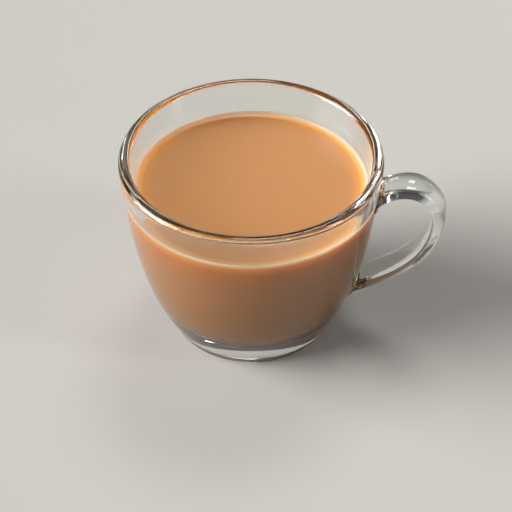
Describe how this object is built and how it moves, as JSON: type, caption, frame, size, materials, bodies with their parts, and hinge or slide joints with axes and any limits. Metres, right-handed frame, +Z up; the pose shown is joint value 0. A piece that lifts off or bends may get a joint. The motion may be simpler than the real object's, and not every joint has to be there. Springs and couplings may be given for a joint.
{
  "type": "glass cup of milk tea",
  "caption": "Round clear glass cup with a strap handle, a thick base and a round lip, filled with milk tea to a finger's width below the lip.",
  "frame": {"origin": "on the cup's axis, at the underside of the foot", "axes": "+Z up along the cup's axis, +X from the axis through the middle of the handle"},
  "size_m": [0.1097, 0.0876, 0.072],
  "materials": {
    "clear_glass": "clear pressed glass, fire-polished",
    "milk_tea": "opaque tan milk tea with a still, glossy surface"
  },
  "bodies": {
    "root": {"glass_cup": "clear_glass", "milk_tea": "milk_tea"}
  },
  "joints": []
}
